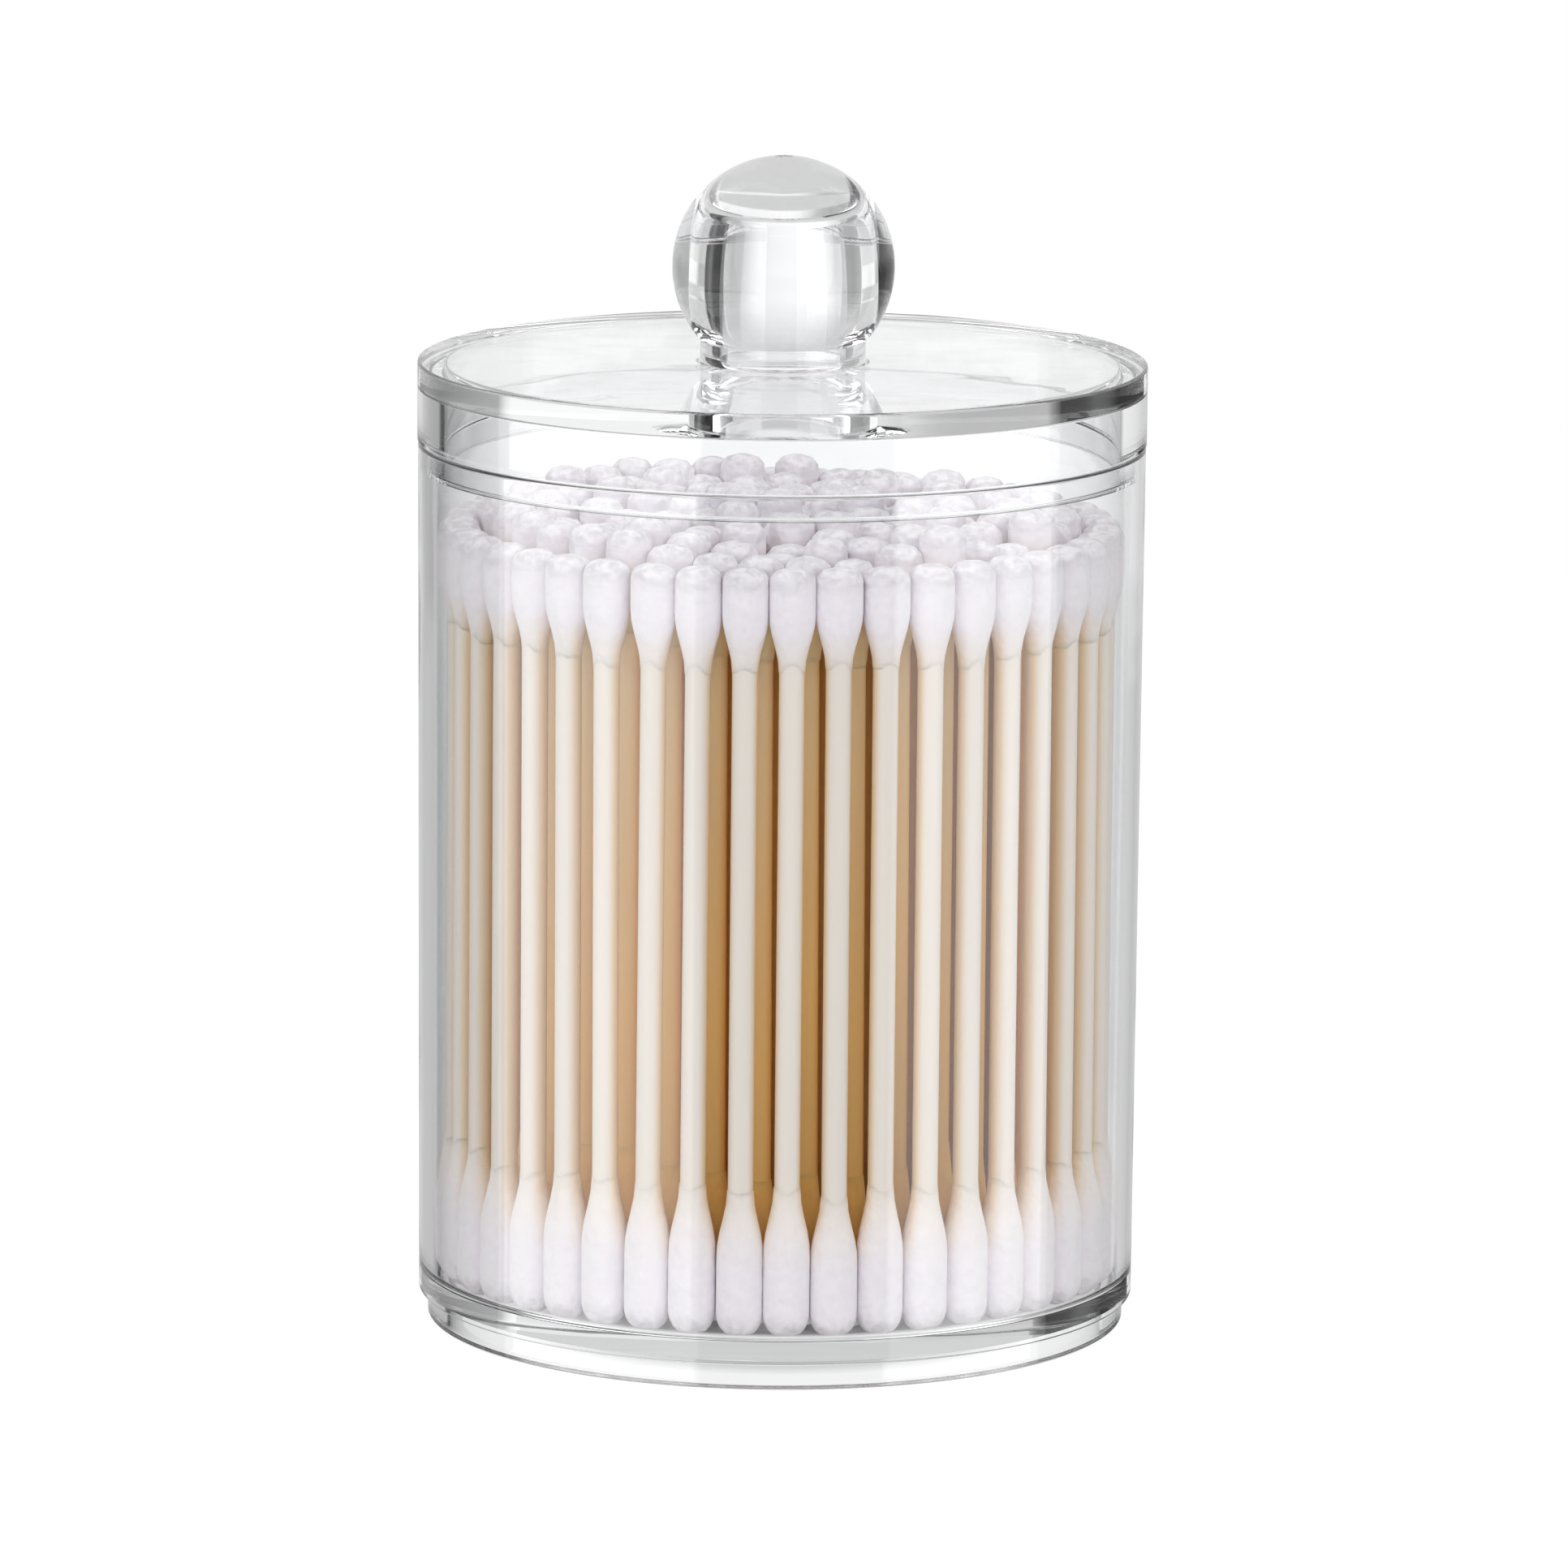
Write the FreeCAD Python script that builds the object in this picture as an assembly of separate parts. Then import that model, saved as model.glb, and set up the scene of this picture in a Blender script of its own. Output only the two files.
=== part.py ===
import FreeCAD, Part
import math
import os
import random

from FreeCAD import Placement, Rotation, Vector

# A round, clear plastic jar of cotton swabs with a lift-off lid.
# Millimetres. Z is up, the origin is the middle of the foot, on the table, and -Y is the front.

# Cotton swabs: a straight stick with a tip of wound cotton at each end.
SWAB_LENGTH = 74.0
STICK_WIDTH = 2.4
TIP_LENGTH = 12.5
TIP_WIDTH = 4.25          # at its fullest
TIP_END_WIDTH = 2.5       # of the blunt end
TIP_SHOULDER = 3.2        # from the blunt end to the fullest section
COTTON_SKIN = 0.12        # cotton round the stick where the tip tapers out
SWAB_FLATS = 5            # flats round a tip or a stick, few because there are hundreds

# Jar: one moulding, with draft on its wall.
JAR_RADIUS = 35.05        # outside, at the rim
WALL_DRAFT = 0.3          # how much slimmer the wall is at its heel
WALL = 1.4
FLOOR = 2.0
FOOT_HEIGHT = 2.5
FOOT_STEP = 0.87          # how far the foot ring is set in from the heel
FOOT_RING_WIDTH = 2.2
FLOOR_CORNER = 1.0        # inside radius between wall and floor
HEADROOM = 7.15           # from the swabs' upper ends to the rim
MOUTH_STEP = 0.5          # rebate inside the rim that takes the lid's plug ring
EDGE_BREAK = 0.25         # how far the moulded edges are broken

# Lid: one moulding with its skirt, plug ring and hollow ball knob.
LID_OVERHANG = 0.1        # how far the skirt stands proud of the rim
LID_HEIGHT = 7.8          # from the top of the plate to the foot of the skirt
PLATE = 2.6
PLUG_WALL = 1.45
PLUG_DEPTH = 2.4          # how far the plug ring reaches below the skirt
BALL_RADIUS = 10.7
NECK_RADIUS = 7.97
NECK_HEIGHT = 1.98
NECK_FLARE = 0.45
NECK_WALL = 1.87
KNOB_ROOF = 5.9           # solid plastic above the cavity in the knob
CAVITY_CORNER = 0.8       # rounded end of the cavity
GATE_RADIUS = 0.9         # dimple left on top of the ball by the mould's gate
GATE_DEPTH = 0.25

# Clearances.
SEAT_GAP = 0.1            # rim to skirt, and plug ring to the ledge below it
PLUG_GAP = 0.15           # plug ring to the rebate round it
TIP_GAP = 0.1             # tip to tip, and tip to wall
STANDING_GAP = 0.05       # tip to floor

# How the swabs stand: in rings, even at the floor and jostled at their upper ends. The outer ring
# stands on the floor against the wall, and the swabs within it are held a little higher or lower.
FIRST_ANGLE = -88.0       # of the first swab in the outer ring, in degrees from +X
LOWER_JOSTLE = 0.12
UPPER_JOSTLE = 1.0
RISE = 2.8                # how far off the floor the bundle holds a swab at most
SETTLING_ROUNDS = 400
SEED = 90191

SECTORS = 6

# Heights and radii that follow from the sizes above.
heel_radius = JAR_RADIUS - WALL_DRAFT
foot_radius = heel_radius - FOOT_STEP
floor_height = FOOT_HEIGHT + FLOOR
swab_base = floor_height + STANDING_GAP
rim_height = swab_base + SWAB_LENGTH + HEADROOM
mouth_radius = JAR_RADIUS - WALL + MOUTH_STEP
bore_radius = heel_radius - WALL
skirt_foot = rim_height + SEAT_GAP
plug_foot = skirt_foot - PLUG_DEPTH
ledge_height = plug_foot - SEAT_GAP
plate_top = skirt_foot + LID_HEIGHT
plate_underside = plate_top - PLATE
lid_radius = JAR_RADIUS + LID_OVERHANG
plug_radius = mouth_radius - PLUG_GAP
cavity_radius = NECK_RADIUS - NECK_WALL
crease_height = plate_top + NECK_HEIGHT
ball_centre = crease_height + math.sqrt(BALL_RADIUS ** 2 - NECK_RADIUS ** 2)
ball_top = ball_centre + BALL_RADIUS
outer_ring_radius = bore_radius - max(TIP_GAP + TIP_WIDTH / 2, FLOOR_CORNER + TIP_END_WIDTH / 2)


def turned(outline):
    """Solid of revolution round Z from corners given as (radius, height)."""
    corners = [Vector(radius, 0, height) for radius, height in outline]
    section = Part.Face(Part.makePolygon(corners + corners[:1]))
    return section.revolve(Vector(0, 0, 0), Vector(0, 0, 1), 360)


def rings(shape, radius, height):
    """The round edges of a shape that have this radius and lie at this height."""
    found = []
    for edge in shape.Edges:
        curve = edge.Curve
        if not isinstance(curve, Part.Circle):
            continue
        if abs(curve.Radius - radius) < 0.001 and abs(curve.Center.z - height) < 0.001:
            found.append(edge)
    return found


def rings_at(shape, places):
    """The round edges of a shape at several (radius, height) places."""
    return [edge for radius, height in places for edge in rings(shape, radius, height)]


def jar_body():
    """Cup with a set-in foot ring, a drafted wall and a rebate inside the rim."""
    ledge_share = (ledge_height - FOOT_HEIGHT) / (rim_height - FOOT_HEIGHT)
    ledge_radius = bore_radius + WALL_DRAFT * ledge_share
    recess_radius = foot_radius - FOOT_RING_WIDTH
    cup = turned([
        (0, FOOT_HEIGHT),
        (recess_radius, FOOT_HEIGHT),
        (recess_radius, 0),
        (foot_radius, 0),
        (foot_radius, FOOT_HEIGHT),
        (heel_radius, FOOT_HEIGHT),
        (JAR_RADIUS, rim_height),
        (mouth_radius, rim_height),
        (mouth_radius, ledge_height),
        (ledge_radius, ledge_height),
        (bore_radius, floor_height),
        (0, floor_height),
    ])
    cup = cup.makeFillet(FLOOR_CORNER, rings(cup, bore_radius, floor_height))
    return cup.makeChamfer(EDGE_BREAK, rings_at(cup, [
        (JAR_RADIUS, rim_height),
        (mouth_radius, rim_height),
        (heel_radius, FOOT_HEIGHT),
        (foot_radius, 0),
        (recess_radius, 0),
    ]))


def knob():
    """Ball on a short neck, with the gate's dimple on top."""
    ball = Part.makeSphere(BALL_RADIUS, Vector(0, 0, ball_centre))
    below_crease = Part.makeCylinder(BALL_RADIUS, BALL_RADIUS, Vector(0, 0, crease_height - BALL_RADIUS))
    neck = Part.makeCylinder(NECK_RADIUS, NECK_HEIGHT + PLATE, Vector(0, 0, plate_underside))
    gate = Part.makeCone(0, GATE_RADIUS, GATE_DEPTH, Vector(0, 0, ball_top - GATE_DEPTH))
    return ball.cut(below_crease).fuse(neck).cut(gate)


def knob_cavity():
    """Blind hollow that the core pin leaves up the middle of the neck and the ball."""
    roof_height = ball_top - KNOB_ROOF
    pin = Part.makeCylinder(cavity_radius, roof_height - plate_underside, Vector(0, 0, plate_underside))
    return pin.makeFillet(CAVITY_CORNER, rings(pin, cavity_radius, roof_height))


def lid():
    """Plate with a skirt that sits on the rim, a plug ring inside it and the knob on top."""
    cap = turned([
        (0, plate_underside),
        (plug_radius - PLUG_WALL, plate_underside),
        (plug_radius - PLUG_WALL, plug_foot),
        (plug_radius, plug_foot),
        (plug_radius, skirt_foot),
        (lid_radius, skirt_foot),
        (lid_radius, plate_top),
        (0, plate_top),
    ])
    cap = cap.makeChamfer(EDGE_BREAK, rings_at(cap, [
        (plug_radius, plug_foot),
        (lid_radius, skirt_foot),
        (lid_radius, plate_top),
    ]))
    solid = cap.fuse(knob()).removeSplitter()
    solid = solid.makeFillet(NECK_FLARE, rings(solid, NECK_RADIUS, plate_top))
    return solid.cut(knob_cavity())


def flat_ring(width, height):
    """Corners of the regular section of a swab at one height, across its corners."""
    corners = []
    for i in range(SWAB_FLATS):
        angle = 2 * math.pi * i / SWAB_FLATS
        corners.append(Vector(math.cos(angle), math.sin(angle), 0) * (width / 2) + Vector(0, 0, height))
    return corners


def stacked(sections):
    """Solid with flat sides through regular sections given as (width, height), lowest first."""
    levels = [flat_ring(width, height) for width, height in sections]
    faces = [Part.Face(Part.makePolygon(level + level[:1])) for level in (levels[0], levels[-1])]
    for lower, upper in zip(levels, levels[1:]):
        for i in range(SWAB_FLATS):
            j = (i + 1) % SWAB_FLATS
            corners = [lower[i], lower[j], upper[j], upper[i]]
            faces.append(Part.Face(Part.makePolygon(corners + corners[:1])))
    return Part.Solid(Part.Shell(faces))


def stick():
    """Bare stretch of the stick, from one tip to the other."""
    return stacked([(STICK_WIDTH, TIP_LENGTH), (STICK_WIDTH, SWAB_LENGTH - TIP_LENGTH)])


def lower_tip():
    """Cotton wound round the stick's lower end: blunt, soon at its fullest, then a long taper."""
    return stacked([
        (TIP_END_WIDTH, 0),
        (TIP_WIDTH, TIP_SHOULDER),
        (STICK_WIDTH + 2 * COTTON_SKIN, TIP_LENGTH),
    ])


def upper_tip():
    """The same tip at the stick's upper end."""
    return stacked([
        (STICK_WIDTH + 2 * COTTON_SKIN, SWAB_LENGTH - TIP_LENGTH),
        (TIP_WIDTH, SWAB_LENGTH - TIP_SHOULDER),
        (TIP_END_WIDTH, SWAB_LENGTH),
    ])


def ring_sizes():
    """Radius of each ring of swabs and how many stand in it, from the wall inwards."""
    spacing = TIP_WIDTH + TIP_GAP
    ring_count = int(outer_ring_radius / spacing)
    sizes = []
    for ring in range(ring_count, 0, -1):
        radius = outer_ring_radius * ring / ring_count
        sizes.append((radius, int(math.pi / math.asin(spacing / (2 * radius)))))
    return sizes


def standing_order():
    """Ring places of the swabs with their sectors, each ring staggered from the one outside it."""
    order = []
    first_angle = FIRST_ANGLE
    for radius, count in ring_sizes():
        step = 360 / count
        for i in range(count):
            angle = math.radians(first_angle + step * i)
            place = Vector(math.cos(angle), math.sin(angle), 0) * radius
            order.append((place, SECTORS * i // count))
        first_angle += step / 2
    return order + [(Vector(0, 0, 0), 0)]


def settled(places):
    """Places nudged apart until each tip clears its neighbours, with the outer ring at the wall."""
    spacing = TIP_WIDTH + TIP_GAP
    wall_count = ring_sizes()[0][1]
    places = [Vector(place) for place in places]
    for _ in range(SETTLING_ROUNDS):
        for i, here in enumerate(places):
            for there in places[:i]:
                between = there - here
                crowding = spacing - between.Length
                if crowding > 0:
                    push = between.normalize() * (crowding / 2)
                    there.x += push.x
                    there.y += push.y
                    here.x -= push.x
                    here.y -= push.y
        for i, place in enumerate(places):
            if i < wall_count or place.Length > outer_ring_radius:
                place.multiply(outer_ring_radius / place.Length)
    return places


def jostled(places, reach, draws):
    """Places moved at random by up to this reach, then settled."""
    moved = []
    for place in places:
        heading = draws.uniform(0, 2 * math.pi)
        step = draws.uniform(0, reach)
        moved.append(place + Vector(math.cos(heading), math.sin(heading), 0) * step)
    return settled(moved)


def standing(piece, lower, upper, rise):
    """Copy of a swab piece whose axis leans from the lower to the upper place, off the floor."""
    foot = lower + Vector(0, 0, swab_base + rise)
    lean = upper - lower + Vector(0, 0, SWAB_LENGTH)
    copy = piece.copy()
    copy.Placement = Placement(foot, Rotation(Vector(0, 0, 1), lean))
    return copy


def swab_groups():
    """Sticks and tips of all the swabs, gathered by sector under their node names."""
    draws = random.Random(SEED)
    order = standing_order()
    feet = jostled([place for place, sector in order], LOWER_JOSTLE, draws)
    heads = jostled(feet, UPPER_JOSTLE, draws)
    wall_count = ring_sizes()[0][1]
    pieces = {"sticks": stick(), "upper_tips": upper_tip(), "lower_tips": lower_tip()}
    groups = {}
    for i, (_, sector) in enumerate(order):
        rise = 0 if i < wall_count else draws.uniform(0, RISE)
        for kind, piece in pieces.items():
            name = f"{kind}_sector_{sector + 1}"
            groups.setdefault(name, []).append(standing(piece, feet[i], heads[i], rise))
    return {name: Part.makeCompound(members) for name, members in groups.items()}


nodes = {"jar_body": jar_body(), "lid": lid()}
nodes.update(swab_groups())

os.makedirs("parts", exist_ok=True)
for name, shape in nodes.items():
    shape.exportStep(f"parts/{name}.step")
    print(name, len(shape.Solids), "solids,", round(shape.Volume), "mm3, valid", shape.isValid())
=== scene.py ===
import math
import random

import bpy
from mathutils import Matrix, Vector


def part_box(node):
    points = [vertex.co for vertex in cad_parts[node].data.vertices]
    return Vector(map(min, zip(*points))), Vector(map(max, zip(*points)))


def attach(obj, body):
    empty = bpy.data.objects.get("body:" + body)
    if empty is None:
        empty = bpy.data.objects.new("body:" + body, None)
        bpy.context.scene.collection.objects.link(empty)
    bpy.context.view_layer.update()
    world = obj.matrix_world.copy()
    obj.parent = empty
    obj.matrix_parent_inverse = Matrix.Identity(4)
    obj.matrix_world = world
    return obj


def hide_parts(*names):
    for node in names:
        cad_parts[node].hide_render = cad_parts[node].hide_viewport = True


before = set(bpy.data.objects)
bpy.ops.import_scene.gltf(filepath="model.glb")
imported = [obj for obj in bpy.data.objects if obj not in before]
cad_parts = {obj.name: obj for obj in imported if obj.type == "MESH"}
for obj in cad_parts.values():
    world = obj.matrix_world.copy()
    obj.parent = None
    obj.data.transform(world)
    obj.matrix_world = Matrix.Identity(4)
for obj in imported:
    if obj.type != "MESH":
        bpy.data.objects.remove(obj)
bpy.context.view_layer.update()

mm = 0.001


# ---------------------------------------------------------------------------------------------
# Jar body. A round cup moulded in one shot from clear plastic: a set-in foot ring, a flat
# floor, a drafted wall and a shallow rebate inside the rim for the lid's plug ring. Every outer
# edge is broken by the mould and the whole is polished clear.
# ---------------------------------------------------------------------------------------------
jar_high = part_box("jar_body")[1]
rim_height = jar_high.z
rim_radius = jar_high.x
draft = 0.3 * mm
wall = 1.4 * mm
foot_step = 0.87 * mm
foot_width = 2.2 * mm
foot_height = 2.5 * mm
floor_thickness = 2.0 * mm
rebate_depth = 2.4 * mm
rebate_step = 0.5 * mm
heel_radius = rim_radius - draft
foot_radius = heel_radius - foot_step
foot_recess_radius = foot_radius - foot_width
floor_height = foot_height + floor_thickness
floor_radius = heel_radius - wall
ledge_height = rim_height - rebate_depth
ledge_radius = rim_radius - wall - 0.01 * mm
mouth_radius = rim_radius - wall + rebate_step
edge_round = 0.25 * mm
edge_steps = 4
floor_corner = 1.0 * mm
corner_steps = 8
ring_segments = 256
crease_angle = math.radians(40)
weld_distance = 0.001 * mm


def edit(piece):
    """Edit mode on one piece with nothing selected, in edge mode."""
    bpy.ops.object.select_all(action="DESELECT")
    bpy.context.view_layer.objects.active = piece
    piece.select_set(True)
    bpy.ops.object.mode_set(mode="EDIT")
    bpy.ops.mesh.select_mode(type="EDGE")
    bpy.ops.mesh.select_all(action="DESELECT")


def done():
    """Back to object mode with nothing selected."""
    bpy.ops.object.mode_set(mode="OBJECT")
    bpy.ops.object.select_all(action="DESELECT")


def pick_rings(piece, places):
    """Selects the ring edges of a round piece that lie at these (radius, height) places."""
    bpy.ops.mesh.select_all(action="DESELECT")
    bpy.ops.object.mode_set(mode="OBJECT")
    points = piece.data.vertices
    near = 0.02 * mm
    for edge in piece.data.edges:
        ends = [points[i].co for i in edge.vertices]
        edge.select = any(
            all(abs(end.xy.length - radius) < near and abs(end.z - height) < near for end in ends)
            for radius, height in places
        )
    bpy.ops.object.mode_set(mode="EDIT")


def draw_out(start, outline):
    """Extrudes the picked ring from its (radius, height) start to each ring of an outline."""
    radius, height = start
    for next_radius, next_height in outline:
        rise = next_height - height
        growth = next_radius / radius
        bpy.ops.mesh.extrude_edges_move(TRANSFORM_OT_translate={"value": (0, 0, rise)})
        bpy.ops.transform.resize(value=(growth, growth, 1), center_override=(0, 0, next_height))
        radius, height = next_radius, next_height


def round_rings(piece, reach, steps, places):
    """Rounds the ring edges at these places."""
    pick_rings(piece, places)
    bpy.ops.mesh.bevel(offset=reach, segments=steps, affect="EDGES")


def finish_moulding(piece):
    """Welds an edited piece and shades its rounds smooth and its flats flat, by face area."""
    bpy.ops.mesh.select_all(action="SELECT")
    bpy.ops.mesh.remove_doubles(threshold=weld_distance)
    bpy.ops.mesh.normals_make_consistent(inside=False)
    done()
    bpy.context.view_layer.objects.active = piece
    piece.select_set(True)
    bpy.ops.object.shade_smooth_by_angle(angle=crease_angle)
    bpy.ops.object.modifier_add(type="WEIGHTED_NORMAL")
    piece.modifiers[-1].keep_sharp = True
    bpy.ops.object.modifier_apply(modifier=piece.modifiers[-1].name)
    bpy.ops.object.select_all(action="DESELECT")


bpy.ops.object.select_all(action="DESELECT")
bpy.ops.mesh.primitive_circle_add(
    vertices=ring_segments,
    radius=foot_recess_radius,
    fill_type="NGON",
    location=(0, 0, foot_height),
)
jar = bpy.context.object
jar.name = jar.data.name = "clear_jar"
bpy.ops.object.transform_apply()
edit(jar)
pick_rings(jar, [(foot_recess_radius, foot_height)])
draw_out((foot_recess_radius, foot_height), [
    (foot_recess_radius, 0),
    (foot_radius, 0),
    (foot_radius, foot_height),
    (heel_radius, foot_height),
    (rim_radius, rim_height),
    (mouth_radius, rim_height),
    (mouth_radius, ledge_height),
    (ledge_radius, ledge_height),
    (floor_radius, floor_height),
    (foot_recess_radius, floor_height),
])
bpy.ops.mesh.edge_face_add()
round_rings(jar, floor_corner, corner_steps, [(floor_radius, floor_height)])
round_rings(jar, edge_round, edge_steps, [
    (rim_radius, rim_height),
    (mouth_radius, rim_height),
    (heel_radius, foot_height),
    (foot_radius, 0),
    (foot_recess_radius, 0),
])
finish_moulding(jar)


def node(tree, kind, **settings):
    """A shader node with some of its settings given by name."""
    made = tree.nodes.new(kind)
    for name, value in settings.items():
        setattr(made, name, value)
    return made


def math_node(tree, operation, first, second=0.0):
    """The result of a Math node on two inputs, each a socket or a number."""
    made = node(tree, "ShaderNodeMath", operation=operation)
    for socket, value in zip(made.inputs, (first, second)):
        if isinstance(value, bpy.types.NodeSocket):
            tree.links.new(value, socket)
        else:
            socket.default_value = value
    return made.outputs[0]


def noise(tree, place, scale, detail):
    """Noise at a place, between 0 and 1."""
    made = node(tree, "ShaderNodeTexNoise")
    made.inputs["Scale"].default_value = scale
    made.inputs["Detail"].default_value = detail
    tree.links.new(place, made.inputs["Vector"])
    return made.outputs["Fac"]


def bumped(tree, height, strength, distance, under=None):
    """Normal of a surface that rises with the height, over another bump's normal if given."""
    made = node(tree, "ShaderNodeBump")
    made.inputs["Strength"].default_value = strength
    made.inputs["Distance"].default_value = distance
    tree.links.new(height, made.inputs["Height"])
    if under is not None:
        tree.links.new(under, made.inputs["Normal"])
    return made.outputs["Normal"]


def blend_shaders(tree, share, first, second):
    """Puts out the first shader where the share is 0 and the second where it is 1."""
    made = node(tree, "ShaderNodeMixShader")
    for socket, value in zip(made.inputs, (share, first.outputs[0], second.outputs[0])):
        tree.links.new(value, socket)
    tree.links.new(made.outputs[0], tree.nodes["Material Output"].inputs["Surface"])


def new_material(name):
    """A new material with its node tree and its main shader."""
    material = bpy.data.materials.new(name)
    material.use_nodes = True
    tree = material.node_tree
    return material, tree, tree.nodes["Principled BSDF"]


def clear_plastic_material():
    """Clear moulded plastic: polished, with the faint waviness of a moulded skin."""
    material, tree, shader = new_material("clear_plastic")
    shader.inputs["Base Color"].default_value = (0.985, 0.99, 0.995, 1)
    shader.inputs["Transmission Weight"].default_value = 1.0
    shader.inputs["IOR"].default_value = 1.49
    shader.inputs["Roughness"].default_value = 0.0
    place = node(tree, "ShaderNodeTexCoord")
    waves = noise(tree, place.outputs["Object"], scale=90, detail=1.5)
    wavy = bumped(tree, waves, strength=0.25, distance=0.05 * mm)
    tree.links.new(wavy, shader.inputs["Normal"])
    # shadows and soft light pass straight through, so that the swabs inside are lit evenly
    through = node(tree, "ShaderNodeBsdfTransparent")
    through.inputs["Color"].default_value = (0.97, 0.97, 0.97, 1)
    path = node(tree, "ShaderNodeLightPath")
    soft = math_node(
        tree, "MAXIMUM", path.outputs["Is Shadow Ray"], path.outputs["Is Diffuse Ray"]
    )
    blend_shaders(tree, soft, shader, through)
    return material


clear_plastic = clear_plastic_material()
jar.data.materials.append(clear_plastic)
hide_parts("jar_body")
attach(jar, "jar")


# ---------------------------------------------------------------------------------------------
# Swab sticks. Straight, round sticks of pale bamboo, sawn to length. They stand upright on the
# jar's floor and lean a little, where the bundle was pressed in.
# ---------------------------------------------------------------------------------------------
sectors = range(1, 7)
swab_length = 74.0 * mm
stick_radius = 1.2 * mm
tip_length = 12.5 * mm
tuck = 4.0 * mm
bundle_radius = 31.0 * mm
near_depth = 0.1
near_stick_sides = 28
far_stick_sides = 12
bundle_seed = 3
# painted shade inside the bundle: how much depth darkens the sticks at the floor and at the top
floor_painted_shade = 1.75
top_painted_shade = 0.85


def bare_sticks(sector):
    """Lower and upper end of each stick's bare stretch, read from the sector's CAD bundle."""
    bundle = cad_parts[f"sticks_sector_{sector}"].copy()
    bundle.data = bundle.data.copy()
    bundle.parent = None
    bpy.context.collection.objects.link(bundle)
    edit(bundle)
    bpy.ops.mesh.select_all(action="SELECT")
    bpy.ops.mesh.remove_doubles(threshold=weld_distance)
    bpy.ops.mesh.separate(type="LOOSE")
    bpy.ops.object.mode_set(mode="OBJECT")
    ends = []
    for single in bpy.context.selected_objects:
        corners = [corner.co.copy() for corner in single.data.vertices]
        corners.sort(key=lambda corner: corner.z)
        half = len(corners) // 2
        ends.append((sum(corners[:half], Vector()) / half, sum(corners[half:], Vector()) / half))
    bpy.ops.object.delete()
    return sorted(ends, key=lambda pair: pair[0].to_tuple(4))


class Swab:
    """Where one swab stands, how deep inside the bundle it is, its own random tone, and the
    painted shade that depth puts on its colour.
    """

    def __init__(self, lower, upper, draws):
        along = (upper - lower).normalized()
        turn = Vector((0, 0, 1)).rotation_difference(along).to_matrix().to_4x4()
        self.along = along
        self.foot = lower - along * tip_length
        self.outward = Vector((lower.x, lower.y, 0)).normalized()
        self.place = Matrix.Translation(self.foot) @ turn
        self.depth = max(0.0, 1 - ((lower + upper) / 2).xy.length / bundle_radius)
        self.tone = draws.random()

    def painted_shade(self, point):
        """Painted shade: depth inside the bundle, which darkens the colour more near the floor
        than at the top.
        """
        return self.depth * (floor_painted_shade - (floor_painted_shade - top_painted_shade) * point.z / swab_length)

    @property
    def near(self):
        """True in the outer row, which is seen close up through the wall."""
        return self.depth < near_depth

    def facing(self, point):
        """1 where a point on the swab faces the wall, 0 at its flanks and -1 at its back."""
        offset = point - self.foot
        offset -= self.along * offset.dot(self.along)
        return offset.normalized().dot(self.outward)


def set_down(name, copies):
    """One piece made of (model, matrix, swab) copies, each set down by its own matrix."""
    singles = []
    for model, matrix, swab in copies:
        single = model.copy()
        single.data = model.data.copy()
        single.data.transform(matrix)
        corners = [corner.co for corner in single.data.vertices]
        # the depth attribute holds painted shade, darker inside the bundle and lower down
        looks = (
            ("tone", [swab.tone] * len(corners)),
            ("depth", [swab.painted_shade(place) for place in corners]),
            ("facing", [swab.facing(place) for place in corners]),
        )
        for key, values in looks:
            single.data.attributes.new(key, "FLOAT", "POINT").data.foreach_set("value", values)
        bpy.context.collection.objects.link(single)
        singles.append(single)
    bpy.ops.object.select_all(action="DESELECT")
    for single in singles:
        single.select_set(True)
    bpy.context.view_layer.objects.active = singles[0]
    bpy.ops.object.join()
    group = bpy.context.object
    group.name = group.data.name = name
    bpy.ops.object.select_all(action="DESELECT")
    return group


def stick_model(sides):
    """A bare stick with its ends tucked into where the cotton starts."""
    bpy.ops.object.select_all(action="DESELECT")
    bpy.ops.mesh.primitive_cylinder_add(
        vertices=sides,
        radius=stick_radius,
        depth=swab_length - 2 * (tip_length - tuck),
        location=(0, 0, swab_length / 2),
    )
    model = bpy.context.object
    bpy.ops.object.transform_apply()
    bpy.ops.object.shade_smooth_by_angle(angle=crease_angle)
    model.data.materials.append(bamboo)
    return model


# (painted shade, colour): the bamboo from the outer row to the middle of the bundle, its own pale
# colour outside, then painted bounce light and painted shade, warmer and darker inward
bamboo_painted_shade_stops = [
    (0.0, (0.85, 0.79, 0.72)),
    (0.09, (0.85, 0.78, 0.70)),
    (0.12, (1.0, 0.84, 0.55)),
    (0.19, (1.0, 0.69, 0.26)),
    (0.26, (0.66, 0.38, 0.08)),
    (0.45, (0.52, 0.28, 0.05)),
]
# painted bounce light: the warm tint on a stick's flanks and back, away from the wall
flank_painted_bounce = (1.0, 0.86, 0.66)


def set_stops(ramp, stops):
    """Puts (position, colour) stops on a new colour ramp."""
    while len(ramp.elements) < len(stops):
        ramp.elements.new(0.5)
    for element, (position, colour) in zip(ramp.elements, stops):
        element.position = position
        element.color = (*colour, 1)


def spread(tree, value, start, end, low=0.0, high=1.0):
    """Low up to the start and high past the end, for a value that runs from one to the other."""
    made = node(tree, "ShaderNodeMapRange")
    reach = {"From Min": start, "From Max": end, "To Min": low, "To Max": high}
    for name, number in reach.items():
        made.inputs[name].default_value = number
    tree.links.new(value, made.inputs["Value"])
    return made.outputs[0]


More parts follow.
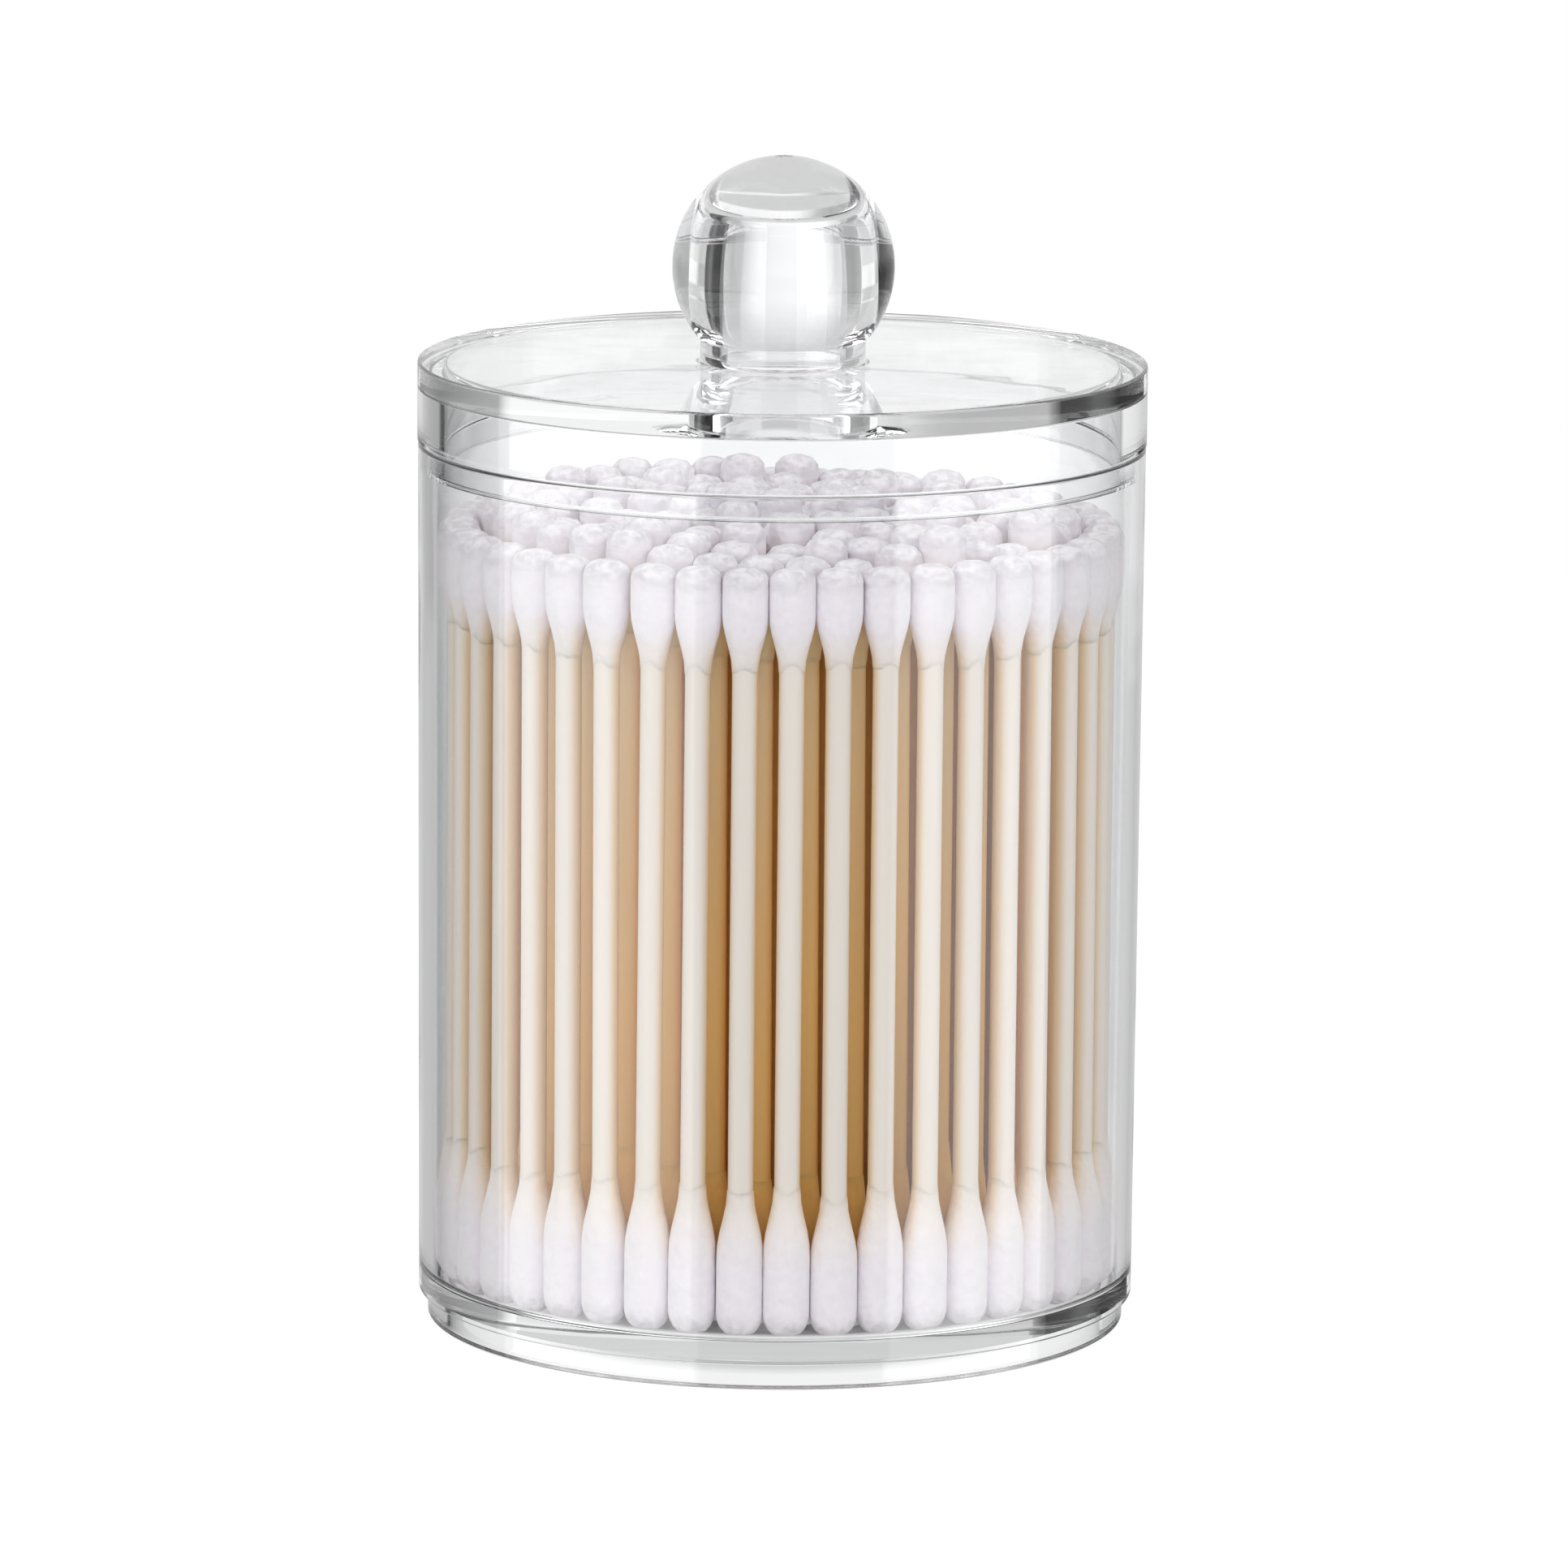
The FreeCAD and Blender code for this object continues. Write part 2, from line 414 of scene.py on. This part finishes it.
def bamboo_group():
    """Node group: bamboo's colour and grain, with painted shade inside the bundle and painted
    bounce light on a stick's flanks.
    """
    group = bpy.data.node_groups.new("bamboo", "ShaderNodeTree")
    group.interface.new_socket("Place", in_out="INPUT", socket_type="NodeSocketVector")
    for name in ("Depth", "Tone", "Facing"):
        group.interface.new_socket(name, in_out="INPUT", socket_type="NodeSocketFloat")
    for name, kind in (("Colour", "NodeSocketColor"), ("Grain", "NodeSocketFloat")):
        group.interface.new_socket(name, in_out="OUTPUT", socket_type=kind)
    given = node(group, "NodeGroupInput")
    made = node(group, "NodeGroupOutput")
    stretch = node(group, "ShaderNodeMapping")
    stretch.inputs["Scale"].default_value = (1500, 1500, 45)
    group.links.new(given.outputs["Place"], stretch.inputs["Vector"])
    grain = noise(group, stretch.outputs["Vector"], scale=1.0, detail=3)
    # painted shade: the colour by depth inside the bundle
    painted_shade_colour = node(group, "ShaderNodeValToRGB")
    set_stops(painted_shade_colour.color_ramp, bamboo_painted_shade_stops)
    group.links.new(given.outputs["Depth"], painted_shade_colour.inputs["Fac"])
    both = math_node(group, "ADD", grain, given.outputs["Tone"])
    shade = spread(group, both, 0.4, 1.6, low=0.92, high=1.03)
    streaked = node(group, "ShaderNodeVectorMath", operation="SCALE")
    group.links.new(painted_shade_colour.outputs["Color"], streaked.inputs[0])
    group.links.new(shade, streaked.inputs["Scale"])
    # painted bounce light on the flanks, by how far a point turns away from the wall
    tint = node(group, "ShaderNodeMix", data_type="RGBA")
    tint.inputs[6].default_value = (*flank_painted_bounce, 1)
    tint.inputs[7].default_value = (1, 1, 1, 1)
    group.links.new(spread(group, given.outputs["Facing"], 0.3, 0.75), tint.inputs[0])
    warmed = node(group, "ShaderNodeVectorMath", operation="MULTIPLY")
    group.links.new(streaked.outputs[0], warmed.inputs[0])
    group.links.new(tint.outputs[2], warmed.inputs[1])
    group.links.new(warmed.outputs[0], made.inputs["Colour"])
    group.links.new(grain, made.inputs["Grain"])
    return group


def placed_bamboo(tree, place):
    """The bamboo group in a material, fed with the swab's own depth, tone and facing."""
    made = node(tree, "ShaderNodeGroup", node_tree=bamboo_look)
    tree.links.new(place.outputs["Object"], made.inputs["Place"])
    for name in ("Depth", "Tone", "Facing"):
        own = node(tree, "ShaderNodeAttribute", attribute_name=name.lower())
        tree.links.new(own.outputs["Fac"], made.inputs[name])
    return made


def stick_material():
    """Bamboo, smooth turned, with the bamboo group's painted shade and painted bounce light."""
    material, tree, shader = new_material("bamboo_stick")
    shader.inputs["Roughness"].default_value = 0.5
    look = placed_bamboo(tree, node(tree, "ShaderNodeTexCoord"))
    tree.links.new(look.outputs["Colour"], shader.inputs["Base Color"])
    grain = bumped(tree, look.outputs["Grain"], strength=0.3, distance=0.03 * mm)
    tree.links.new(grain, shader.inputs["Normal"])
    return material


draws = random.Random(bundle_seed)
swabs = {sector: [Swab(*ends, draws) for ends in bare_sticks(sector)] for sector in sectors}
bamboo_look = bamboo_group()
bamboo = stick_material()
near_stick = stick_model(near_stick_sides)
far_stick = stick_model(far_stick_sides)
for sector in sectors:
    copies = [
        (near_stick if swab.near else far_stick, swab.place, swab) for swab in swabs[sector]
    ]
    sticks = set_down(f"bamboo_sticks_{sector}", copies)
    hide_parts(f"sticks_sector_{sector}")
    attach(sticks, "jar")
bpy.data.objects.remove(near_stick)
bpy.data.objects.remove(far_stick)


# ---------------------------------------------------------------------------------------------
# Cotton tips. White cotton fibre wound wet round each end of a stick and dried: a blunt round
# end, fullest a few millimetres up, then a long taper that dies out on the stick.
# ---------------------------------------------------------------------------------------------
belly_radius = 2.2 * mm
dome_height = 2.4 * mm
cotton_length = 14.2 * mm
cotton_skin = 0.03 * mm
button_radius = 0.6 * mm
upper_shortness = 0.7
crown_height = 3.0 * mm
ring_crowding = 1.7
tip_crease_angle = math.radians(60)
near_girths = ((0.93, 0.97), (1.0, 1.025))
far_girths = ((0.98, 1.04), (0.98, 1.06))
length_range = (0.96, 1.04)


def cotton_radius(height, belly_top, bluntness):
    """Radius of a tip at a height over its end: blunt dome, straight belly and easy taper."""
    along = min(max((height - belly_top) / (cotton_length - belly_top), 0), 1)
    fullness = 0.5 + 0.5 * math.cos(math.pi * along)
    thin = stick_radius + cotton_skin
    radius = thin + (belly_radius - thin) * fullness
    if height < dome_height:
        radius *= (1 - (1 - height / dome_height) ** bluntness) ** (1 / bluntness)
    return radius


def tip_model(sides, rings, belly_top, bluntness, cover_start, cover_end):
    """A cotton tip that stands on its end at the origin, with its stick pointing up."""
    button = button_radius / belly_radius
    low = dome_height * (1 - (1 - button ** bluntness) ** (1 / bluntness))
    outline = []
    for i in range(1, rings + 1):
        height = low + (cotton_length - low) * (i / rings) ** ring_crowding
        outline.append((cotton_radius(height, belly_top, bluntness), height))
    bpy.ops.object.select_all(action="DESELECT")
    bpy.ops.mesh.primitive_circle_add(
        vertices=sides, radius=button_radius, fill_type="TRIFAN", location=(0, 0, low)
    )
    model = bpy.context.object
    bpy.ops.object.transform_apply()
    edit(model)
    pick_rings(model, [(button_radius, low)])
    draw_out((button_radius, low), outline)
    bpy.ops.mesh.edge_face_add()
    bpy.ops.mesh.select_all(action="SELECT")
    bpy.ops.mesh.normals_make_consistent(inside=False)
    done()
    for key, start, end in (("cover", cover_start, cover_end), ("crown", 0, crown_height)):
        shade = model.data.attributes.new(key, "FLOAT", "POINT")
        for corner, own in zip(model.data.vertices, shade.data):
            own.value = 1 - min(max((corner.co.z - start) / (end - start), 0), 1)
    bpy.context.view_layer.objects.active = model
    model.select_set(True)
    bpy.ops.object.shade_smooth_by_angle(angle=tip_crease_angle)
    bpy.ops.object.select_all(action="DESELECT")
    model.data.materials.append(cotton)
    return model


def cotton_material():
    """Wound white cotton: matt and soft, thin enough at the top to show the stick, whose colour
    brings its painted shade.
    """
    material, tree, shader = new_material("cotton")
    shader.inputs["Roughness"].default_value = 0.95
    shader.inputs["Specular IOR Level"].default_value = 0.2
    shader.inputs["Sheen Weight"].default_value = 0.15
    shader.inputs["Subsurface Weight"].default_value = 0.65
    shader.inputs["Subsurface Radius"].default_value = (1.0, 0.95, 0.95)
    shader.inputs["Subsurface Scale"].default_value = 1.6 * mm
    place = node(tree, "ShaderNodeTexCoord")
    fibre = noise(tree, place.outputs["Object"], scale=1400, detail=4)
    tufts = noise(tree, place.outputs["Object"], scale=820, detail=1.5)
    colours = node(tree, "ShaderNodeValToRGB")
    set_stops(colours.color_ramp, [(0.3, (0.86, 0.825, 0.868)), (0.7, (0.905, 0.87, 0.912))])
    tree.links.new(fibre, colours.inputs["Fac"])
    # painted shade in the hollows between the tufts, on the crown only
    crown = node(tree, "ShaderNodeAttribute", attribute_name="crown").outputs["Fac"]
    shadow = spread(tree, tufts, 0.42, 0.58, low=0.18, high=0.0)
    crown_painted_shade = math_node(tree, "MULTIPLY", shadow, crown)
    fibre_and_painted_shade = node(tree, "ShaderNodeVectorMath", operation="SCALE")
    tree.links.new(colours.outputs["Color"], fibre_and_painted_shade.inputs[0])
    tree.links.new(math_node(tree, "SUBTRACT", 1.0, crown_painted_shade), fibre_and_painted_shade.inputs["Scale"])
    # the stick shows through where the cotton thins out; on the inner tips its colour, with its
    # painted shade, covers most of the cotton as painted shade
    cover = node(tree, "ShaderNodeAttribute", attribute_name="cover")
    stick = placed_bamboo(tree, place)
    surface = node(tree, "ShaderNodeMix", data_type="RGBA")
    tree.links.new(cover.outputs["Fac"], surface.inputs[0])
    tree.links.new(stick.outputs["Colour"], surface.inputs[6])
    tree.links.new(fibre_and_painted_shade.outputs[0], surface.inputs[7])
    tree.links.new(surface.outputs[2], shader.inputs["Base Color"])
    # soft lumps, which swell on the crown, with fine fibres over them
    swell = math_node(tree, "ADD", math_node(tree, "MULTIPLY", crown, 2.5), 0.6)
    lumps = math_node(tree, "MULTIPLY", tufts, swell)
    lumpy = bumped(tree, lumps, strength=0.6, distance=0.8 * mm)
    woolly = bumped(tree, fibre, strength=0.5, distance=0.08 * mm, under=lumpy)
    tree.links.new(woolly, shader.inputs["Normal"])
    return material


cotton = cotton_material()
# the upper ends dried blunt and full, the lower ones were pressed longer and rounder
near_tips = {
    "lower": tip_model(
        sides=24, rings=16, belly_top=7.8 * mm, bluntness=2.1,
        cover_start=6.5 * mm, cover_end=cotton_length,
    ),
    "upper": tip_model(
        sides=24, rings=16, belly_top=6.0 * mm, bluntness=2.6,
        cover_start=8.5 * mm, cover_end=cotton_length,
    ),
}
# the inner tips take the stick's colour from low down, so its painted shade darkens most of their
# cotton
far_tips = {
    "lower": tip_model(
        sides=12, rings=8, belly_top=6.0 * mm, bluntness=2.6,
        cover_start=1.0 * mm, cover_end=7.0 * mm,
    ),
    "upper": tip_model(
        sides=12, rings=8, belly_top=6.0 * mm, bluntness=2.6,
        cover_start=4.0 * mm, cover_end=9.0 * mm,
    ),
}
end_over_end = Matrix.Translation((0, 0, swab_length)) @ Matrix.Rotation(math.pi, 4, "X")
ends = (("lower", Matrix.Identity(4), 1.0), ("upper", end_over_end, upper_shortness))
for sector in sectors:
    for end, flip, shortness in ends:
        copies = []
        for swab in swabs[sector]:
            heading = math.atan2(swab.outward.y, swab.outward.x)
            spin = Matrix.Rotation(heading if end == "lower" else -heading, 4, "Z")
            models, girths = (near_tips, near_girths) if swab.near else (far_tips, far_girths)
            girth = [draws.uniform(*reach) for reach in girths]
            length = shortness * draws.uniform(*length_range)
            matrix = swab.place @ flip @ spin @ Matrix.Diagonal((*girth, length, 1))
            copies.append((models[end], matrix, swab))
        tips = set_down(f"cotton_{end}_{sector}", copies)
        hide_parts(f"{end}_tips_sector_{sector}")
        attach(tips, "jar")
for model in (*near_tips.values(), *far_tips.values()):
    bpy.data.objects.remove(model)


# ---------------------------------------------------------------------------------------------
# Lid. One moulding in the same clear plastic: a thick round plate with a skirt that sits on the
# jar's rim, a plug ring that drops inside it, and a ball knob on a short neck. A core pin leaves
# a blind hollow up the middle of the knob, and the gate leaves a dimple on top of the ball.
# ---------------------------------------------------------------------------------------------
lid_low, lid_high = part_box("lid")
lid_radius = lid_high.y
plug_foot = lid_low.z
rim_gap = 0.1 * mm
skirt_height = 7.8 * mm
plate_thickness = 2.6 * mm
plug_clearance = 0.15 * mm
plug_wall = 1.45 * mm
skirt_foot = rim_height + rim_gap
plate_top = skirt_foot + skirt_height
plate_underside = plate_top - plate_thickness
plug_radius = mouth_radius - plug_clearance
plug_bore = plug_radius - plug_wall
ball_radius = 10.7 * mm
ball_rings = 120
neck_radius = 7.97 * mm
neck_height = 1.98 * mm
neck_flare = 0.45 * mm
flare_steps = 6
crease_height = plate_top + neck_height
ball_centre = crease_height + math.sqrt(ball_radius ** 2 - neck_radius ** 2)
neck_wall = 1.87 * mm
roof_thickness = 5.9 * mm
cavity_radius = neck_radius - neck_wall
cavity_corner = 0.8 * mm
cavity_roof = ball_centre + ball_radius - roof_thickness
gate_radius = 0.9 * mm
gate_depth = 0.25 * mm
gate_edge = ball_centre + math.sqrt(ball_radius ** 2 - gate_radius ** 2)

bpy.ops.object.select_all(action="DESELECT")
bpy.ops.mesh.primitive_uv_sphere_add(
    segments=ring_segments, ring_count=ball_rings, radius=ball_radius, location=(0, 0, ball_centre)
)
lid = bpy.context.object
lid.name = lid.data.name = "clear_lid"
bpy.ops.object.transform_apply()
edit(lid)
for height, side in ((crease_height, -1), (gate_edge, 1)):
    bpy.ops.mesh.select_all(action="SELECT")
    bpy.ops.mesh.bisect(
        plane_co=(0, 0, height), plane_no=(0, 0, side), clear_outer=True, threshold=weld_distance
    )
pick_rings(lid, [(gate_radius, gate_edge)])
draw_out((gate_radius, gate_edge), [
    (gate_radius * 0.85, gate_edge - gate_depth * 0.8),
    (gate_radius * 0.5, gate_edge - gate_depth),
])
bpy.ops.mesh.edge_face_add()
pick_rings(lid, [(neck_radius, crease_height)])
draw_out((neck_radius, crease_height), [
    (neck_radius, plate_top),
    (lid_radius, plate_top),
    (lid_radius, skirt_foot),
    (plug_radius, skirt_foot),
    (plug_radius, plug_foot),
    (plug_bore, plug_foot),
    (plug_bore, plate_underside),
    (cavity_radius, plate_underside),
    (cavity_radius, cavity_roof),
    (cavity_radius * 0.1, cavity_roof),
])
bpy.ops.mesh.edge_face_add()
round_rings(lid, neck_flare, flare_steps, [(neck_radius, plate_top)])
round_rings(lid, cavity_corner, corner_steps, [(cavity_radius, cavity_roof)])
round_rings(lid, edge_round, edge_steps, [
    (lid_radius, plate_top),
    (lid_radius, skirt_foot),
    (plug_radius, plug_foot),
    (plug_bore, plug_foot),
    (plug_bore, plate_underside),
    (cavity_radius, plate_underside),
])
finish_moulding(lid)
lid.data.materials.append(clear_plastic)
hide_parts("lid")
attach(lid, "lid")


# ---------------------------------------------------------------------------------------------
# Studio. A round white table, a white backdrop and three soft lamps. The clear plastic shows
# painted reflections in place of the room round it: a bright pool on the backdrop, a tall dark
# flag to its left, a grey card to its right, a softbox to each side and a plain ceiling, each
# painted at its own level for gleams, skin and light through one wall or both.
# ---------------------------------------------------------------------------------------------
table_radius = 0.45
table_white = 0.75
table_glow = 1.06
table_glow_share = 0.9

bpy.ops.object.select_all(action="DESELECT")
bpy.ops.mesh.primitive_circle_add(vertices=96, radius=table_radius, fill_type="NGON")
table = bpy.context.object
table.name = "table"
table.visible_glossy = False
table.visible_transmission = False


def table_material():
    """White table that keeps a faint shadow, and looks as white as the backdrop."""
    material, tree, shader = new_material("white_table")
    shader.inputs["Base Color"].default_value = (table_white, table_white, table_white, 1)
    shader.inputs["Roughness"].default_value = 0.9
    shader.inputs["Specular IOR Level"].default_value = 0.0
    glow = node(tree, "ShaderNodeEmission")
    glow.inputs["Strength"].default_value = table_glow
    path = node(tree, "ShaderNodeLightPath")
    share = math_node(tree, "MULTIPLY", path.outputs["Is Camera Ray"], table_glow_share)
    blend_shaders(tree, share, shader, glow)
    return material


table.data.materials.append(table_material())

shade_radius = 30.5 * mm
shade_core = 18 * mm
shade_edge = 27 * mm
shade_level = 0.22
shade_edge_level = 0.97
shade_lift = 0.02 * mm

# a glowing disc that only the clear plastic sees: a painted shadow under the jar
bpy.ops.object.select_all(action="DESELECT")
bpy.ops.mesh.primitive_circle_add(
    vertices=96, radius=shade_radius, fill_type="NGON", location=(0, 0, shade_lift)
)
shade_spot = bpy.context.object
shade_spot.name = "shade_under_jar"
shade_spot.visible_camera = False
shade_spot.visible_diffuse = False
shade_spot.visible_glossy = False
shade_spot.visible_shadow = False


def shade_material():
    """Painted shadow of the bundle on the table, as the clear floor shows it: dark in the middle,
    white by the foot.
    """
    material, tree, shader = new_material("shade_under_jar")
    tree.nodes.remove(shader)
    place = node(tree, "ShaderNodeTexCoord")
    reach = node(tree, "ShaderNodeVectorMath", operation="LENGTH")
    tree.links.new(place.outputs["Object"], reach.inputs[0])
    level = spread(
        tree, reach.outputs["Value"], shade_core, shade_edge, shade_level, shade_edge_level
    )
    glow = node(tree, "ShaderNodeEmission")
    tree.links.new(level, glow.inputs["Color"])
    tree.links.new(glow.outputs[0], tree.nodes["Material Output"].inputs["Surface"])
    return material


shade_spot.data.materials.append(shade_material())

softbox_level = 2.4
softbox_gleam = 1.2
front_level = 0.05
flag_level = 0.01
ambient_level = 0.5
sky_level = 1.15
ceiling_level = 0.66
overhead_level = 0.84
ground_level = 0.7
# where the light comes from, as the height of its direction: 0 is level and 1 straight up
overhead_slopes = (-0.11, -0.01)
low_slopes = (-0.165, -0.175)
low_share = 0.6
ceiling_slopes = (0.08, 0.40)
ground_slopes = (-0.5, -0.85)
sky_slopes = (0.2, 0.9)
# in radians round the jar: half the width of the part behind it, and the tall flag's place
behind_reach = 0.6
flag_turn = 1.06
flag_reach = 0.39
# counts of how often light crossed or touched the plastic: above the first it went through both
# walls, and below the second it hasn't done so yet
both_walls = 3.5
not_yet = 0.5
# angle round the jar in degrees, 0 straight behind it and positive to the right, and the painted
# light there: for mirror gleams inside the plastic, for the first gleam on its skin (the veil),
# and for light straight through one wall (solid) or both (through), a painted level for each
mirror_stops = [
    (-180, front_level), (-152.5, front_level), (-152, softbox_level), (-80, softbox_level),
    (-79, flag_level), (-56, 0.02), (-51, 0.12), (-47, 0.14), (-43, 0.07), (-35.4, 0.05),
    (-34.8, 0.46), (-20, 0.45), (-16, 0.50), (-12, 0.72), (-6, 1.0), (0, 1.05), (10, 1.0),
    (36.2, 0.98), (37.2, 0.46), (56, 0.33), (66, 0.35), (82, 0.40),
    (83, softbox_level), (142, softbox_level), (142.5, front_level), (180, front_level),
]
veil_stops = [
    (-180, front_level), (-155.5, front_level), (-155, softbox_gleam), (-80, softbox_gleam),
    (-79, flag_level), (-42, flag_level), (-36, 0.25), (-29, 0.42), (-20, 0.42), (-10, 0.55),
    (0, 0.80), (8, 0.60), (16, 0.34), (22, 0.12), (82, 0.10),
    (83, softbox_gleam), (142, softbox_gleam), (142.5, front_level), (180, front_level),
]
solid_stops = [
    (-180, 0.15), (-100, 0.10), (-92, flag_level), (-44, flag_level), (-38, 0.22),
    (-30, 0.36), (-20, 0.42), (-11, 0.69), (-5, 0.92), (0, 0.96), (10, 0.93), (19, 0.66),
    (31, 0.58), (45, 0.46), (80, 0.46), (96, 0.55), (180, 0.60),
]
through_stops = [
    (-180, 1.0), (-66, 1.0), (-56, 0.10), (-45, 0.06), (-38, 0.18), (-33, 0.25), (-25, 0.35),
    (-20, 0.40), (-16, 0.45), (-11, 0.70), (-7, 0.90), (-4, 1.04), (2, 1.10), (5, 1.08),
    (10, 1.03), (14, 1.0), (19, 0.88), (24, 0.71), (31, 0.58), (44, 0.58), (66, 1.0), (180, 1.0),
]
# slope of the light, and how far the ceiling takes over from the mirror gleams there
tier_stops = [(0.01, 0), (0.03, 1), (0.135, 1), (0.145, 0), (0.155, 0), (0.165, 1)]


def light_round(tree, turn, stops):
    """Level of light at a turn round the jar, read from a list of (degrees, level) stops."""
    band = node(tree, "ShaderNodeValToRGB")
    brightest = max(level for _, level in stops)
    shares = [((angle + 180) / 360, [level / brightest] * 3) for angle, level in stops]
    set_stops(band.color_ramp, shares)
    tree.links.new(spread(tree, turn, -math.pi, math.pi), band.inputs["Fac"])
    return math_node(tree, "MULTIPLY", band.outputs["Color"], brightest)


def either(tree, mask, plain, masked):
    """Plain where the mask is 0 and masked where it is 1."""
    made = node(tree, "ShaderNodeMix", data_type="FLOAT")
    for socket, value in zip((made.inputs[0], *made.inputs[2:4]), (mask, plain, masked)):
        if isinstance(value, bpy.types.NodeSocket):
            tree.links.new(value, socket)
        else:
            socket.default_value = value
    return made.outputs[0]


def studio_world():
    """White for the camera, plain soft light for the swabs, and painted reflections and
    refractions for the plastic.
    """
    world = bpy.data.worlds.new("studio")
    world.use_nodes = True
    tree = world.node_tree
    place = node(tree, "ShaderNodeTexCoord")
    split = node(tree, "ShaderNodeSeparateXYZ")
    tree.links.new(place.outputs["Generated"], split.inputs[0])
    slope = split.outputs["Z"]
    turn = math_node(tree, "ARCTAN2", split.outputs["X"], split.outputs["Y"])
    path = node(tree, "ShaderNodeLightPath").outputs
    deep = math_node(tree, "GREATER_THAN", path["Transmission Depth"], both_walls)
    solid = light_round(tree, turn, solid_stops)
    straight = either(tree, deep, solid, light_round(tree, turn, through_stops))
    high = spread(tree, slope, *overhead_slopes)
    veil = either(tree, high, light_round(tree, turn, veil_stops), overhead_level)
    tiers = node(tree, "ShaderNodeValToRGB")
    set_stops(tiers.color_ramp, [(height, [share] * 3) for height, share in tier_stops])
    tree.links.new(slope, tiers.inputs["Fac"])
    low = math_node(tree, "MULTIPLY", spread(tree, slope, *low_slopes), low_share)
    banded = math_node(tree, "MAXIMUM", tiers.outputs["Color"], low)
    behind = math_node(tree, "LESS_THAN", math_node(tree, "ABSOLUTE", turn), behind_reach)
    taken = math_node(tree, "MULTIPLY", banded, behind)
    mirror = either(tree, taken, light_round(tree, turn, mirror_stops), ceiling_level)
    outer = math_node(tree, "LESS_THAN", path["Transmission Depth"], not_yet)
    mirrored = either(tree, outer, mirror, veil)
    plain = math_node(tree, "LESS_THAN", path["Glossy Depth"], not_yet)
    painted_reflections = either(tree, plain, mirrored, straight)
    # the dark flag behind the jar stands from the ground up past the ceiling light
    off_flag = math_node(tree, "ABSOLUTE", math_node(tree, "ADD", turn, flag_turn))
    beside = math_node(tree, "GREATER_THAN", off_flag, flag_reach)
    for slopes, level in ((ceiling_slopes, ceiling_level), (ground_slopes, ground_level)):
        share = math_node(tree, "MULTIPLY", spread(tree, slope, *slopes), beside)
        painted_reflections = either(tree, share, painted_reflections, level)
    sky = either(tree, spread(tree, slope, *sky_slopes), ambient_level, sky_level)
    plastic = math_node(tree, "MAXIMUM", path["Is Glossy Ray"], path["Is Transmission Ray"])
    level = either(tree, path["Is Camera Ray"], either(tree, plastic, sky, painted_reflections), 1.0)
    tree.links.new(level, tree.nodes["Background"].inputs["Color"])
    return world


bpy.context.scene.world = studio_world()


def lamp(name, angle, distance, height, size, level):
    """Square soft lamp at an angle in degrees round from the jar's front, facing the jar."""
    data = bpy.data.lights.new(name, "AREA")
    data.size = size
    # the power at which a white card close in front of the lamp is this bright
    data.energy = level * math.pi * size ** 2
    made = bpy.data.objects.new(name, data)
    bpy.context.collection.objects.link(made)
    turn = math.radians(angle)
    made.location = (distance * math.sin(turn), -distance * math.cos(turn), height)
    facing = lamp_aim - made.location
    made.rotation_euler = facing.to_track_quat("-Z", "Y").to_euler()
    made.visible_camera = False
    made.visible_glossy = False
    made.visible_transmission = False


lamp_aim = Vector((0, 0, 0.05))
lamp("softbox_left", angle=-42, distance=0.8, height=0.40, size=0.5, level=1.7)
lamp("softbox_right", angle=42, distance=0.8, height=0.40, size=0.5, level=1.5)
lamp("fill_front", angle=0, distance=1.2, height=0.50, size=0.6, level=1.25)


# ---------------------------------------------------------------------------------------------
# Camera. A long lens in front of the jar and a little above it, looking down at its middle. The
# jar leans very slightly in the view, so the camera is turned half a degree about its own axis.
# ---------------------------------------------------------------------------------------------
camera_distance = 1.072
camera_elevation = math.radians(10.5)
camera_roll = math.radians(0.50)
aim_point = Vector((0.47 * mm, 0, 52.15 * mm))
long_lens = bpy.data.cameras.new("camera")
long_lens.lens = 254
long_lens.sensor_width = 36
long_lens.clip_end = 20
camera = bpy.data.objects.new("camera", long_lens)
bpy.context.collection.objects.link(camera)
back = Vector((0, -math.cos(camera_elevation), math.sin(camera_elevation)))
camera.location = aim_point + back * camera_distance
camera.rotation_euler = (math.pi / 2 - camera_elevation, 0, 0)
camera.rotation_euler.rotate_axis("Z", camera_roll)
scene = bpy.context.scene
scene.camera = camera
scene.view_settings.view_transform = "Standard"
scene.cycles.max_bounces = 32
scene.cycles.transmission_bounces = 32
scene.cycles.glossy_bounces = 16
scene.cycles.diffuse_bounces = 8
scene.cycles.transparent_max_bounces = 32
